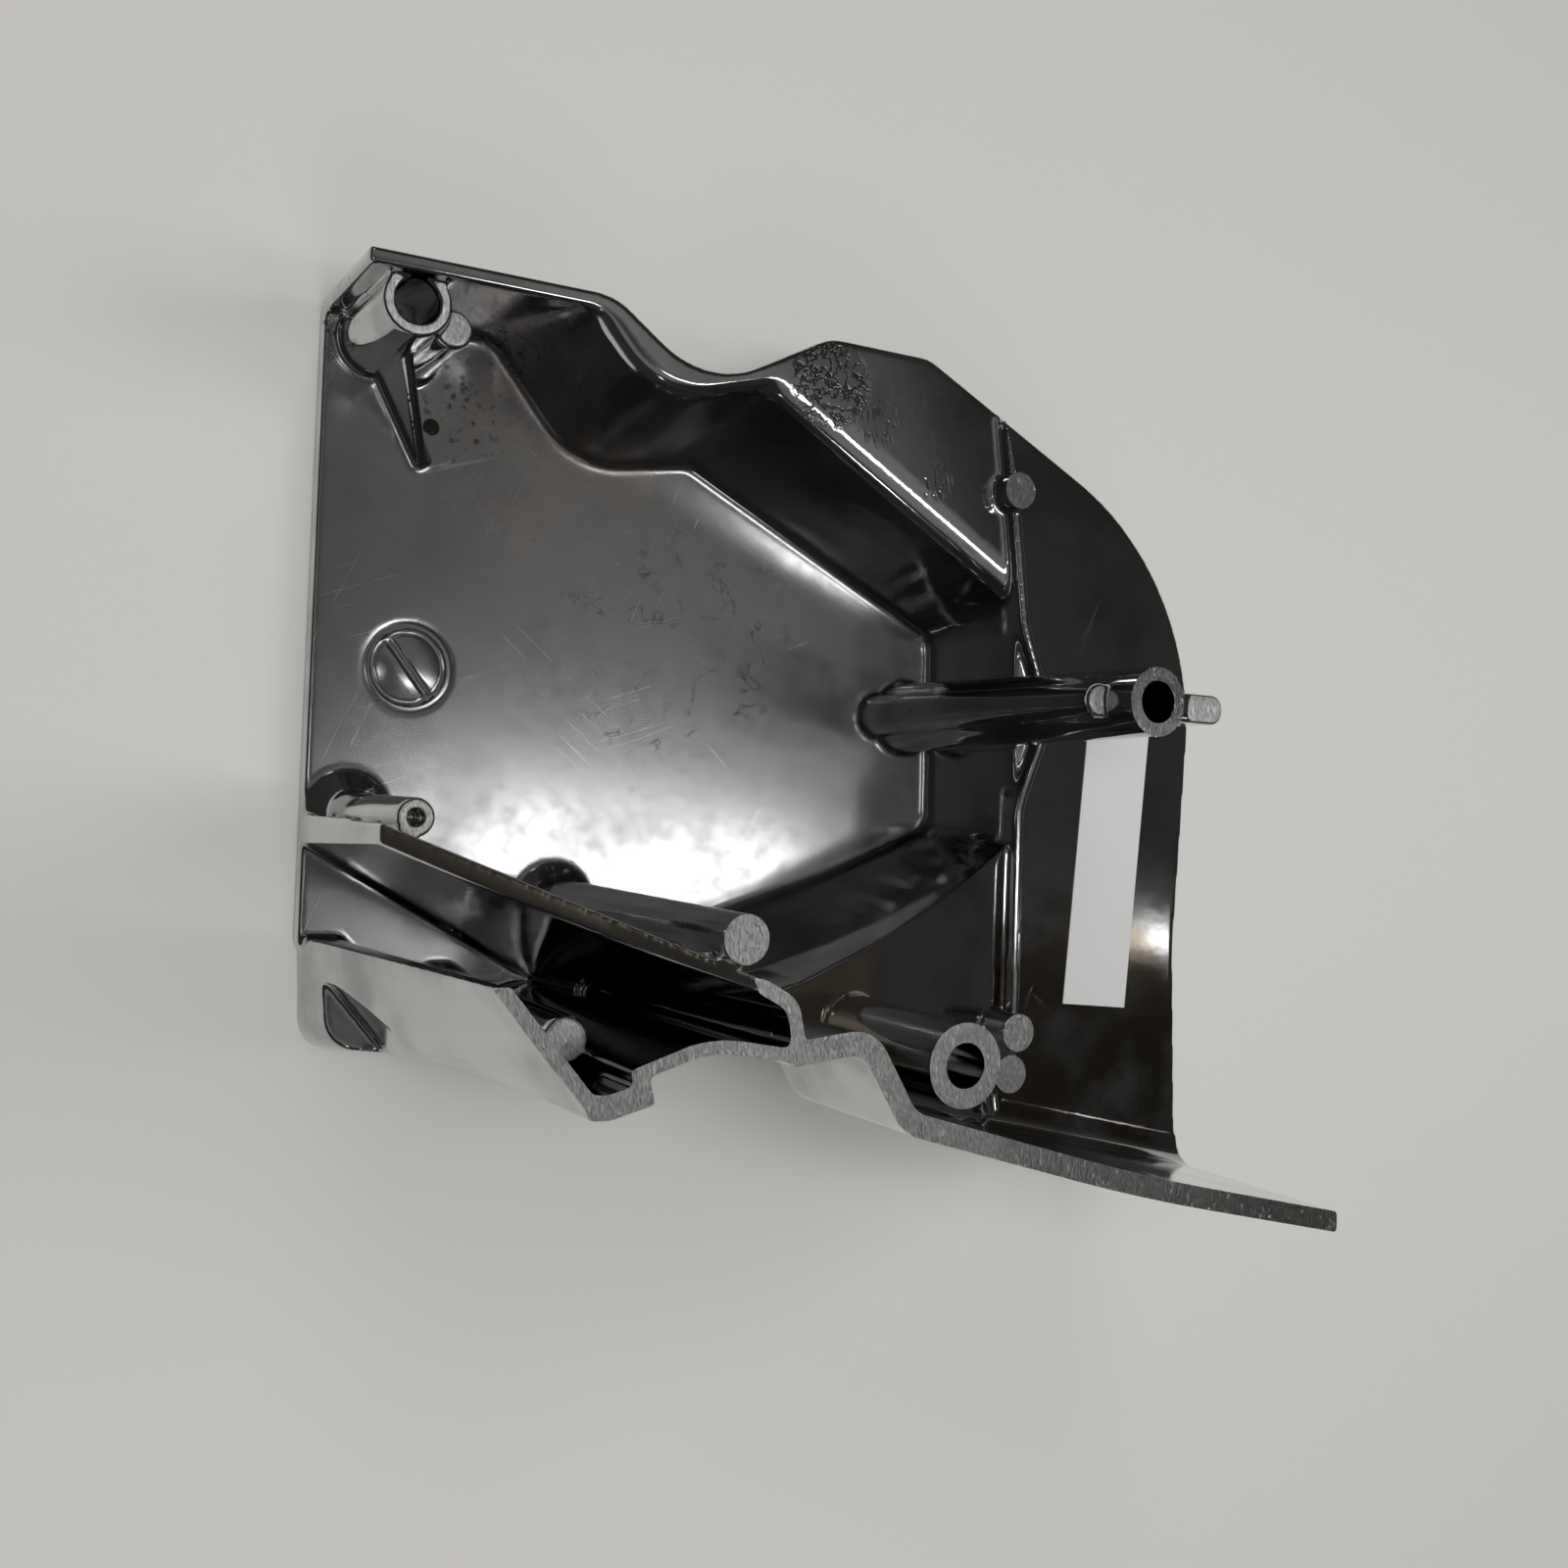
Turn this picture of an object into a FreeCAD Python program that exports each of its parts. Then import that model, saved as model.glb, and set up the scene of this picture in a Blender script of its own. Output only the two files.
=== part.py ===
"""Die-cast, chrome-plated sprocket cover with the blank paper label stuck to its flange.

Millimetres. The cover lies on its outer face and is seen from the engine side. The drawing frame has
x = 0 at the open chain side, y up the cover and z = 0 on the outer face; the finished pieces are then
moved so that the origin is the middle of the cover's footprint.
"""
import FreeCAD, Part
import math
import os

# Heights above the outer face
floor_thickness = 3.0
flange_height = 30.0
flange_thickness = 3.0
joint_height = 74.0
saddle_height = 48.0
rib_low_height = 48.0

# Walls and edge radii
top_wall = 2.4
dish_wall = 2.6
lower_wall = 3.3
rib_top_width = 1.7
bend_width = 2.0
bend_foot_width = 4.0
channel_wall = 1.8
hook_wall = 3.2
cove_radius = 5.0
outer_edge_radius = 3.5
floor_edge_radius = 1.4
rim_radius = 2.2
edge_steps = 4

# Bolt posts: (x, y), outer diameter and height of the top
bolt_hole = 6.6
draft = 0.018
upper_post = dict(at=(7.9, 71.2), diameter=10.5, top=28.0)
rear_post = dict(at=(110.9, 17.3), diameter=10.6, top=joint_height)
lower_post = dict(at=(77.6, -36.4), diameter=12.2, top=joint_height)

# Dowel pin, cable boss and ejector pads
pin = dict(at=(42.0, -18.5), diameter=6.7, top=joint_height)
cable_boss = dict(at=(6.8, -4.3), diameter=5.6, top=42.0)
cable_hole = 2.2
cable_hole_depth = 4.0
foot_diameter = 14.0
foot_rise = 3.5
channel_boss = dict(at=(22.9, -32.9), diameter=6.6, top=60.0)
channel_web_width = 4.0
channel_web_reach = 5.5
upper_pad = dict(at=(14.2, 68.8), diameter=6.0, top=25.5)
rear_pad = dict(at=(104.9, 17.4), diameter=5.4, top=68.0)
rib_pad = dict(at=(114.1, 56.4), diameter=6.4, top=flange_height + 3.6)
corner_pads = [dict(at=at, diameter=6.5, top=39.0) for at in ((113.6, -37.6), (112.2, -44.6))]

# Webs and low ribs
upper_web_width = 6.4
upper_web_top = 26.0
gusset_width = 1.9
gusset_top = 20.0
gusset_run = [(8.6, 67.5), (16.8, 52.0)]
rear_web_width = 4.8
rear_web_reach = 18.2
rear_web_round = 2.0
rear_web_top = 69.0
flange_rib_width = 1.9
flange_rib_rise = 2.4
flange_rib_tip = (111.2, 69.6, 0)
corner_rib_width = 1.8
corner_rib_rise = 4.0

# Cast date ring in the floor
ring_at = (15.7, 19.5)
ring_diameter = 14.6
groove_diameter = 12.2
disc_diameter = 10.6
ring_depth = 0.3
groove_depth = 0.8
slot_width = 1.5
slot_angle = -52.0

# Paper label
label_width = 14.4
label_length = 52.0
label_thickness = 0.15
label_at = (139.2, -8.6)
label_turn = -4.2

# How far cutting solids reach past what they cut
past = 20.0

# Inside of the dish at its floor and at its mouth, clockwise from the top of the open chain side: top side,
# hollow for the neighbouring cover, slope, rear side, lower side, dividing rib. Corners are (x, y, radius)
cover_top = 77.3
inner_top = cover_top - top_wall
dish_floor = [(-past, inner_top, 0), (27.0, inner_top, 6), (42.5, 55.8, 15), (63.9, 59.1, 4),
              (116.4, 33.0, 5), (117.3, -3.4, 5), (95.0, -13.0, 180), (72.0, -20.6, 0), (56.0, -29.0, 0),
              (-past, 2.6, 0)]
dish_mouth = [(-past, inner_top, 0), (35.3, inner_top, 8), (46.8, 62.2, 15), (66.0, 67.6, 5),
              (116.7, 37.6, 5), (118.0, -4.8, 5), (94.1, -18.5, 180), (68.0, -27.0, 0), (56.0, -29.6, 0),
              (-past, 2.6, 0)]
dish_walls = [top_wall] + [dish_wall] * 7 + [0.0, 0.0]
rim_sides = [0, 1, 1, 2, 0, 0, 0, 0, 0, 0]
open_sides = [0, 0, 0, 0, 0, 0, 0, 0, rib_top_width / 2, past / 4]

# Flange, clockwise from the top of the open side; the last four corners lie inside the dish
flange_edge = [(0.0, cover_top, 0), (38.2, cover_top, 9), (54.5, 65.6, 16), (77.0, 77.6, 10), (96.5, 77.5, 8),
               (159.4, 45.9, 50), (156.2, -24.0, 40), (158.4, -66.0, 0), (116.0, -57.0, 0),
               (116.0, 0.0, 0), (60.0, 30.0, 0), (0.0, 66.0, 0)]

# Sloping saddle between the dish, the lower post and the notch
saddle_edge = [(118.5, -2.0, 0), (118.5, -57.0, 0), (67.0, -44.2, 4), (61.5, -32.5, 4), (50.0, -33.0, 0),
               (50.0, -20.0, 0)]
saddle_foot_x, saddle_head_x = 117.0, 61.0

# Inner face of the upright lower wall with its notch, and the slant of its far end
wall_path = [(161.0, -64.9, 0), (112.0, -54.6, 400), (69.6, -42.6, 4), (62.3, -30.6, 6), (49.0, -32.2, 0)]
wall_full_x = 58.0
wall_end_low_x, wall_end_high_x = 158.8, 152.6

# Dividing rib: outline at the outer face and at the joint face, and the bend that ends it
rib_foot = [(-10.0, -0.4, 0), (47.0, -23.0, 0), (42.0, -33.0, 0), (-10.0, -3.5, 0)]
rib_line = [(-11.0, -1.65, 0), (46.0, -25.3, 0)]
rib_full_x = 44.5
bend_path = [(44.4, -24.6, 0), (49.4, -27.2, 4), (50.6, -33.6, 0)]

# Lower channel: floor, thin arched wall and the chamfered lug at its mouth
channel_floor = [(-15.0, 1.0, 0), (60.0, -25.0, 0), (60.0, -32.6, 0), (50.0, -33.9, 0), (37.5, -32.8, 0),
                 (27.0, -36.0, 0), (24.0, -38.6, 0), (19.0, -39.6, 0), (3.5, -26.0, 0), (-15.0, -22.5, 0)]
channel_path = [(26.4, -35.8, 0), (37.5, -32.0, 16), (51.0, -34.2, 0)]
lug_foot = [(0.6, -24.0, 0), (6.0, -24.0, 0), (20.5, -39.4, 0), (18.0, -42.3, 0), (1.4, -41.8, 5)]
lug_line = [(20.7, -40.0), (7.6, -24.2)]
lug_inner = [(10.0, -24.2), (22.3, -39.0)]
hook_path = [(20.6, -39.4, 0), (23.4, -39.5, 2), (29.4, -37.8, 0)]
pocket_back = [(3.2, -30.2, 0), (12.2, -41.0, 0)]
pocket_bottom, pocket_top = 11.0, 34.0

# Low ribs on the flange
upper_rib_path = [(114.1, 56.4, 0), (117.4, 33.0, 12), (123.4, 18.0, 0)]
lower_rib_path = [(123.4, 16.6, 0), (117.4, 1.0, 12), (117.9, -36.0, 0)]
corner_rib_path = [(112.2, -44.6, 0), (113.4, -52.6, 0)]


def vector(x, y, z=0.0):
    """A point from plain numbers."""
    return FreeCAD.Vector(x, y, z)


def direction(start, end):
    """Unit vector from one corner to the next."""
    return vector(end[0] - start[0], end[1] - start[1]).normalize()


def rounded_wire(corners, height):
    """Closed wire through corners (x, y, radius), each corner an arc tangent to its two sides."""
    count = len(corners)
    starts, ends, arcs = [], [], []
    for index, (x, y, radius) in enumerate(corners):
        corner = vector(x, y, height)
        back = direction(corners[index], corners[index - 1])
        ahead = direction(corners[index], corners[(index + 1) % count])
        half_turn = back.getAngle(ahead) / 2
        reach = radius / math.tan(half_turn)
        starts.append(corner + back * reach)
        ends.append(corner + ahead * reach)
        middle = corner + (back + ahead).normalize() * (radius / math.sin(half_turn) - radius)
        arcs.append(Part.Arc(starts[-1], middle, ends[-1]).toShape() if radius else None)
    edges = []
    for index, arc in enumerate(arcs):
        edges += [arc] if arc else []
        edges.append(Part.makeLine(ends[index], starts[(index + 1) % count]))
    return Part.Wire(edges)


def stacked(sections):
    """Ruled solid through (height, corners) sections."""
    return Part.makeLoft([rounded_wire(corners, height) for height, corners in sections], True, True)


def prism(corners, low, high):
    """Upright solid over rounded corners."""
    return Part.Face(rounded_wire(corners, low)).extrude(vector(0, 0, high - low))


def slab(profile, low_y, high_y):
    """Solid whose x-z profile runs from low_y to high_y."""
    face = Part.Face(Part.makePolygon([vector(x, low_y, z) for x, z in profile + profile[:1]]))
    return face.extrude(vector(0, high_y - low_y, 0))


def grown(corners, walls):
    """Clockwise corners moved outwards: the side that leaves corner i stands walls[i] further out."""
    moved = []
    for index, (x, y, radius) in enumerate(corners):
        arriving = direction(corners[index - 1], corners[index])
        leaving = direction(corners[index], corners[(index + 1) % len(corners)])
        out_before, out_after = vector(-arriving.y, arriving.x), vector(-leaving.y, leaving.x)
        before, after = walls[index - 1], walls[index]
        along = (after - before * out_before.dot(out_after)) / out_after.dot(arriving)
        shift = out_before * before + arriving * along
        turn = arriving.cross(leaving).z
        bend = math.copysign(min(before, after, key=abs), turn) if before * after > 0 else 0.0
        bend = bend if before > 0 else -bend
        moved.append((x + shift.x, y + shift.y, max(radius - bend, radius / 3)))
    return moved


def band(path, left, right):
    """Corners of a wall along a path of (x, y, radius), reaching so far to its left and right."""
    sides = []
    for reach in (left, -right):
        side = []
        for index, (x, y, radius) in enumerate(path):
            arriving = direction(path[max(index - 1, 0)], path[max(index, 1)])
            leaving = direction(path[index], path[index + 1]) if index < len(path) - 1 else arriving
            mean = (arriving + leaving).normalize()
            miter = reach / mean.dot(leaving)
            bent = radius - math.copysign(reach, reach * arriving.cross(leaving).z)
            side.append((x - mean.y * miter, y + mean.x * miter, max(bent, radius / 3) if radius else 0))
        sides.append(side)
    return sides[0] + sides[1][::-1]


def boss(at, diameter, top, base=floor_thickness / 2):
    """Round boss that widens towards its base by the casting draft."""
    radius = diameter / 2
    return Part.makeCone(radius + (top - base) * draft, radius, top - base, vector(*at, base))


def drill(at, diameter, low, high):
    """Round cutter on an upright axis."""
    return Part.makeCylinder(diameter / 2, high - low, vector(*at, low))


def quarter_turn():
    """Sine and cosine of the steps that round an edge."""
    angles = [math.pi / 2 * step / edge_steps for step in range(edge_steps + 1)]
    return [(math.sin(angle), math.cos(angle)) for angle in angles]


def dish_at(height):
    """Inside outline of the dish at a height, between its floor and its mouth."""
    share = (height - floor_thickness) / (flange_height - floor_thickness)
    pairs = zip(dish_floor, dish_mouth)
    return [tuple(low + (high - low) * share for low, high in zip(foot, lip)) for foot, lip in pairs]


def dish():
    """Tapered outside of the dish, with a rounded edge round the outer face."""
    sections = []
    for rise, run in quarter_turn():
        height = outer_edge_radius * (1 - run)
        inset = outer_edge_radius * (1 - rise)
        walls = [wall - inset if wall else 0.0 for wall in dish_walls]
        sections.append((height, grown(dish_at(height), walls)))
    sections.append((flange_height, grown(dish_mouth, dish_walls)))
    return stacked(sections)


def dish_hollow():
    """Cutter for the inside of the dish, rounded at the floor and at the rim."""
    sections = []
    for rise, run in quarter_turn():
        height = floor_thickness + floor_edge_radius * (1 - run)
        inset = floor_edge_radius * (1 - rise)
        walls = [-inset if wall else reach for wall, reach in zip(dish_walls, open_sides)]
        sections.append((height, grown(dish_at(height), walls)))
    for rise, run in quarter_turn():
        height = flange_height - rim_radius * (1 - rise)
        flare = rim_radius * (1 - run)
        walls = [flare * share if share else reach for share, reach in zip(rim_sides, open_sides)]
        sections.append((height, grown(dish_at(height), walls)))
    sections.append((joint_height + past, grown(dish_mouth, open_sides)))
    return stacked(sections[:-1]).fuse(prism(sections[-1][1], flange_height, joint_height + past))


def saddle_level(x):
    """Height of the saddle's upper face."""
    slope = (saddle_height - flange_height) / (saddle_foot_x - saddle_head_x)
    return flange_height + slope * (saddle_foot_x - x)


def saddle():
    """Sloping plate that climbs from the flange to the notch, and the dish wall raised to carry it."""
    ends = (saddle_foot_x + past, saddle_head_x - past)
    upper = [(x, saddle_level(x)) for x in ends]
    lower = [(x, saddle_level(x) - flange_thickness) for x in ends[::-1]]
    deep = [(x, 0.0) for x in ends[::-1]]
    reach = (-cover_top - past, 0.0)
    plate = slab(upper + lower, *reach).common(prism(saddle_edge, 0.0, joint_height))
    (start_x, start_y, _), curve, knee, (end_x, end_y, _) = dish_mouth[5:9]
    lip = [(start_x, start_y, 0), curve, knee, (end_x, end_y, 0)]
    raised = prism(band(lip, dish_wall, dish_wall / 2), flange_height - flange_thickness, joint_height)
    return plate.fuse(raised.common(slab(upper + deep, *reach)))


def upright_wall():
    """Lower wall with its notch, open below the saddle, with a slanting far end."""
    wall = prism(band(wall_path, lower_wall, 0.0), 0.0, joint_height)
    under_flange = flange_height - flange_thickness
    far = wall_path[0][0] + past
    below = [(wall_full_x, -past), (wall_full_x, saddle_level(wall_full_x) - flange_thickness),
             (saddle_foot_x, under_flange), (far, under_flange), (far, -past)]
    slant = [(wall_end_low_x, under_flange), (wall_end_high_x, joint_height), (far, joint_height),
             (far, under_flange)]
    reach = (-cover_top - past, 0.0)
    return wall.cut([slab(below, *reach), slab(slant, *reach)])


def wall_cove():
    """Hollow rounding between the flange and the lower wall."""
    run = [(x, y, 0) for x, y, radius in wall_path[:2]]
    base = flange_height - flange_thickness / 2
    sections = [(base, band(run, lower_wall / 2, cove_radius))]
    for rise, fall in quarter_turn():
        height = flange_height + cove_radius * (1 - fall)
        sections.append((height, band(run, lower_wall / 2, cove_radius * (1 - rise))))
    cove = stacked(sections)
    far = wall_path[0][0] + past
    beyond = [(wall_end_low_x, base), (wall_end_high_x, joint_height), (far, joint_height), (far, base)]
    return cove.cut(slab(beyond, -cover_top - past, 0.0))


def dividing_rib():
    """Tapered rib between dish and channel, climbing to the joint face, and the bend that ends it."""
    half = rib_top_width / 2
    head = band(rib_line, half, half)
    base = floor_thickness / 2
    rib = stacked([(base, rib_foot), (joint_height, head)])
    rise = (joint_height - rib_low_height) / rib_full_x
    above = [(-past, rib_low_height - rise * past), (rib_full_x, joint_height),
             (rib_full_x, joint_height + past), (-past, joint_height + past)]
    foot, top = bend_foot_width / 2, bend_width / 2
    bend = stacked([(base, band(bend_path, foot, foot)), (joint_height, band(bend_path, top, top))])
    return rib.cut(slab(above, -cover_top, cover_top)).fuse(bend)


def channel():
    """Thin arched wall of the lower channel."""
    half = channel_wall / 2
    return prism(band(channel_path, half, half), 0.0, joint_height)


def lug():
    """Lug whose square foot is chamfered to a slanting head, with its hook and its cored pocket."""
    (near_x, near_y), (far_x, far_y) = lug_line
    run_x, run_y = far_x - near_x, far_y - near_y
    thirds = [(near_x + run_x * share / 3, near_y + run_y * share / 3) for share in (1, 2)]
    head = [lug_line[1]] + lug_inner + [lug_line[0]] + thirds
    block = Part.makeLoft([rounded_wire(lug_foot, 0.0),
                           rounded_wire([(x, y, 0) for x, y in head], joint_height)], True, True)
    mouth = [(-past, y, 0) for x, y, radius in pocket_back[::-1]]
    pocket = prism(pocket_back + mouth, pocket_bottom, pocket_top)
    half = hook_wall / 2
    return block.cut(pocket).fuse(prism(band(hook_path, half, half), 0.0, joint_height))


def gusset():
    """Thin three-cornered rib that braces the upper post on the floor."""
    (near_x, near_y), (far_x, far_y) = gusset_run
    across = vector(near_y - far_y, far_x - near_x).normalize() * gusset_width
    base = floor_thickness / 2
    corners = [vector(near_x, near_y, base), vector(near_x, near_y, gusset_top),
               vector(far_x, far_y, floor_thickness), vector(far_x, far_y, base)]
    face = Part.Face(Part.makePolygon([corner - across / 2 for corner in corners + corners[:1]]))
    return face.extrude(across)


def posts():
    """Bolt posts, dowel pin, cable boss, ejector pads and the webs that brace them."""
    under = flange_height - flange_thickness
    floor_posts = (upper_post, rear_post, pin, cable_boss, channel_boss, upper_pad, rear_pad)
    pieces = [boss(**post) for post in floor_posts]
    pieces.append(boss(base=saddle_level(lower_post["at"][0]) - flange_thickness, **lower_post))
    pieces += [boss(base=under, **pad) for pad in corner_pads + [rib_pad]]
    for foot in (pin, cable_boss):
        pieces.append(Part.makeCone(foot_diameter / 2, foot["diameter"] / 2, foot_rise,
                                    vector(*foot["at"], floor_thickness)))
    x, y = upper_post["at"]
    half = upper_web_width / 2
    pieces.append(prism(band([(x, y, 0), (x, inner_top + top_wall / 2, 0)], half, half), 0.0, upper_web_top))
    x, y = rear_post["at"]
    half = rear_web_width / 2
    end = x + rear_web_reach
    pieces.append(prism([(x, y - half, 0), (end, y - half, rear_web_round), (end, y + half, rear_web_round),
                         (x, y + half, 0)], under, rear_web_top))
    x, y = channel_boss["at"]
    half = channel_web_width / 2
    inward = direction(*lug_inner)
    foot = (x + inward.y * channel_web_reach, y - inward.x * channel_web_reach, 0)
    pieces.append(prism(band([(x, y, 0), foot], half, half), floor_thickness / 2, channel_boss["top"]))
    return pieces + [gusset()]


def low_ribs():
    """Ribs on the flange and the small rib below the corner pads."""
    under = flange_height - flange_thickness
    half = flange_rib_width / 2
    ribs = [prism(band(path, half, half), under, flange_height + flange_rib_rise)
            for path in (upper_rib_path, lower_rib_path)]
    x, y, radius = upper_rib_path[0]
    tip = [flange_rib_tip, (x + half, y, 0), (x - half, y, 0)]
    ribs.append(prism(tip, under, flange_height + flange_rib_rise))
    half = corner_rib_width / 2
    return ribs + [prism(band(corner_rib_path, half, half), under, flange_height + corner_rib_rise)]


def bores():
    """Bolt holes, the small blind hole of the cable boss and the date ring's recess."""
    bolt_posts = (upper_post, rear_post, lower_post)
    cuts = [drill(post["at"], bolt_hole, -past, post["top"] + past) for post in bolt_posts]
    boss_top = cable_boss["top"]
    cuts.append(drill(cable_boss["at"], cable_hole, boss_top - cable_hole_depth, boss_top + past))
    deep, shallow = floor_thickness - groove_depth, floor_thickness - ring_depth
    disc = drill(ring_at, disc_diameter, 0.0, floor_thickness)
    groove = drill(ring_at, groove_diameter, deep, floor_thickness).cut(disc)
    slot_corner = vector(-disc_diameter / 2, -slot_width / 2, deep)
    slot = Part.makeBox(disc_diameter, slot_width, groove_depth, slot_corner)
    slot.rotate(vector(0, 0), vector(0, 0, 1), slot_angle)
    slot.translate(vector(*ring_at))
    return cuts + [drill(ring_at, ring_diameter, shallow, floor_thickness), groove, slot]


def casting():
    """The whole cover as one casting."""
    flange = prism(flange_edge, flange_height - flange_thickness, flange_height)
    body = dish().fuse([flange, saddle(), prism(channel_floor, 0.0, floor_thickness)]).cut(dish_hollow())
    for piece in [dividing_rib(), channel(), upright_wall(), wall_cove(), lug()] + posts() + low_ribs():
        body = body.fuse(piece)
    edge_corner = vector(-past * 2, -cover_top * 2, -past)
    beyond_edge = Part.makeBox(past * 2, cover_top * 4, joint_height * 2, edge_corner)
    for cutter in bores() + [beyond_edge]:
        body = body.cut(cutter)
    return body.removeSplitter()


def label():
    """Blank paper label lying on the flange."""
    sheet = Part.makeBox(label_width, label_length, label_thickness,
                         vector(-label_width / 2, -label_length / 2, flange_height))
    sheet.rotate(vector(0, 0), vector(0, 0, 1), label_turn)
    sheet.translate(vector(*label_at))
    return sheet


def main():
    """Builds both pieces and writes them about the middle of the footprint."""
    os.makedirs("parts", exist_ok=True)
    cover = casting()
    middle = cover.optimalBoundingBox().Center
    for name, piece in (("sprocket_cover", cover), ("stock_label", label())):
        piece.translate(vector(-middle.x, -middle.y))
        piece.exportStep(f"parts/{name}.step")
        volume = round(piece.Volume, 1)
        print(name, piece.isValid(), len(piece.Solids), volume, len(piece.Faces), piece.BoundBox)
    print("middle of the footprint", round(middle.x, 4), round(middle.y, 4))


if __name__ == "__main__":
    main()
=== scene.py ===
"""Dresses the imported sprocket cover: a plated casting lying on its outer face, with a blank paper label."""

import logging
import math
from dataclasses import dataclass
from enum import Enum

import bmesh
import bpy
from mathutils import Matrix, Vector


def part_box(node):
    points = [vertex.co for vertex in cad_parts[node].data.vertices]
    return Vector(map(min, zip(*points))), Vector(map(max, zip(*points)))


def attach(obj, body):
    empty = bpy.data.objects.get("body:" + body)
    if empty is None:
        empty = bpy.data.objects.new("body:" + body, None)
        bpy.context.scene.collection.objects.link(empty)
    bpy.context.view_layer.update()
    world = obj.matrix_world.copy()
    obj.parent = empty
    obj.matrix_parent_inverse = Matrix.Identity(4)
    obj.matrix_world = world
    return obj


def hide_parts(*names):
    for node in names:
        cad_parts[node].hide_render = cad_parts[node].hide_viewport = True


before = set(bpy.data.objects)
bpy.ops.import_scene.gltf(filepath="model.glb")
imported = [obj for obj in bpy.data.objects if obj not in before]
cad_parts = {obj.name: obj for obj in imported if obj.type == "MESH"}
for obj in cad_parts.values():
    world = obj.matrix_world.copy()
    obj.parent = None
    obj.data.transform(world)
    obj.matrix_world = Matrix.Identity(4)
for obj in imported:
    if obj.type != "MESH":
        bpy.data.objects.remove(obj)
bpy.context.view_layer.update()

MM = 0.001
COVER_TOP = 77.59
log = logging.getLogger("sprocket_cover")

Colour = tuple[float, float, float, float]


class Gloss(Enum):
    """How finely a surface of the casting is worked, as its roughness."""

    POLISHED = 0.09
    SATIN = 0.19
    GROUND = 0.28


@dataclass(frozen=True)
class Drawing:
    """Places measured on the drawing, whose x = 0 is the open chain side and z = 0 the outer face."""

    left: float
    top: float

    @classmethod
    def of_cover(cls) -> "Drawing":
        """Finds the drawing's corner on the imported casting."""
        low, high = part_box("sprocket_cover")
        return cls(low.x, high.y - COVER_TOP * MM)

    def place(self, x: float, y: float, z: float) -> Vector:
        """Turns a place on the drawing into metres in the row's frame.

        Args:
            x: Millimetres from the open chain side.
            y: Millimetres up the cover.
            z: Millimetres above the outer face.

        Returns:
            The same place in metres.
        """
        return Vector((x * MM + self.left, y * MM + self.top, z * MM))


@dataclass(frozen=True)
class Spot:
    """A round spot in plan: its middle and its reach, in millimetres."""

    x: float
    y: float
    reach: float


class Value:
    """A number in a shader, which plain operators can reckon with."""

    def __init__(self, nodes: "Nodes", socket: bpy.types.NodeSocket) -> None:
        """Keeps the node tree and the socket that gives the number."""
        self.nodes = nodes
        self.socket = socket

    def _math(self, operation: str, first: "Value | float", second: "Value | float") -> "Value":
        """Adds one Math node."""
        made = self.nodes.node("ShaderNodeMath", {"operation": operation}, {0: first, 1: second})
        return Value(self.nodes, made.outputs[0])

    def __add__(self, other: "Value | float") -> "Value":
        """Sum."""
        return self._math("ADD", self, other)

    __radd__ = __add__

    def __sub__(self, other: "Value | float") -> "Value":
        """Difference."""
        return self._math("SUBTRACT", self, other)

    def __rsub__(self, other: float) -> "Value":
        """Difference the other way round."""
        return self._math("SUBTRACT", other, self)

    def __mul__(self, other: "Value | float") -> "Value":
        """Product."""
        return self._math("MULTIPLY", self, other)

    __rmul__ = __mul__

    def __abs__(self) -> "Value":
        """Size without sign."""
        return self._math("ABSOLUTE", self, 0.0)

    def larger(self, other: "Value | float") -> "Value":
        """The larger of two numbers."""
        return self._math("MAXIMUM", self, other)

    def ramp(self, low: float, high: float) -> "Value":
        """Smooth step.

        Args:
            low: Number at which the step gives 0.
            high: Number at which it gives 1, which may be the smaller.

        Returns:
            A number from 0 to 1.
        """
        made = self.nodes.node("ShaderNodeMapRange", {"interpolation_type": "SMOOTHSTEP"},
                               {"Value": self, "From Min": low, "From Max": high})
        return Value(self.nodes, made.outputs[0])


class Nodes:
    """The nodes of a material or of the room, and one way to add them."""

    def __init__(self, tree: bpy.types.NodeTree) -> None:
        """Starts with an empty tree."""
        self.tree = tree
        self.tree.nodes.clear()

    def node(self, kind: str, settings: dict, inputs: dict) -> bpy.types.Node:
        """Adds a node.

        Args:
            kind: Blender's name of the node type.
            settings: Properties of the node; stops gives a ramp's positions and colours.
            inputs: Values or links by socket name or number.

        Returns:
            The node.
        """
        made = self.tree.nodes.new(kind)
        for key, value in settings.items():
            if key == "stops":
                self._set_stops(made.color_ramp, value)
            else:
                setattr(made, key, value)
        for key, value in inputs.items():
            self.feed(made.inputs[key], value)
        return made

    @staticmethod
    def _set_stops(ramp: bpy.types.ColorRamp, stops: tuple[tuple[float, Colour], ...]) -> None:
        """Gives a colour ramp its stops."""
        while len(ramp.elements) < len(stops):
            ramp.elements.new(1.0)
        for element, (position, colour) in zip(ramp.elements, stops):
            element.position = position
            element.color = colour

    def feed(self, socket: bpy.types.NodeSocket, value: object) -> None:
        """Links a socket, or sets it to a plain value."""
        if isinstance(value, Value):
            self.tree.links.new(value.socket, socket)
        elif isinstance(value, bpy.types.NodeSocket):
            self.tree.links.new(value, socket)
        else:
            socket.default_value = value

    def parts(self, vector: bpy.types.NodeSocket) -> tuple[Value, Value, Value]:
        """Splits a vector into its three numbers."""
        split = self.node("ShaderNodeSeparateXYZ", {}, {0: vector})
        return tuple(Value(self, output) for output in split.outputs)


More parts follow.
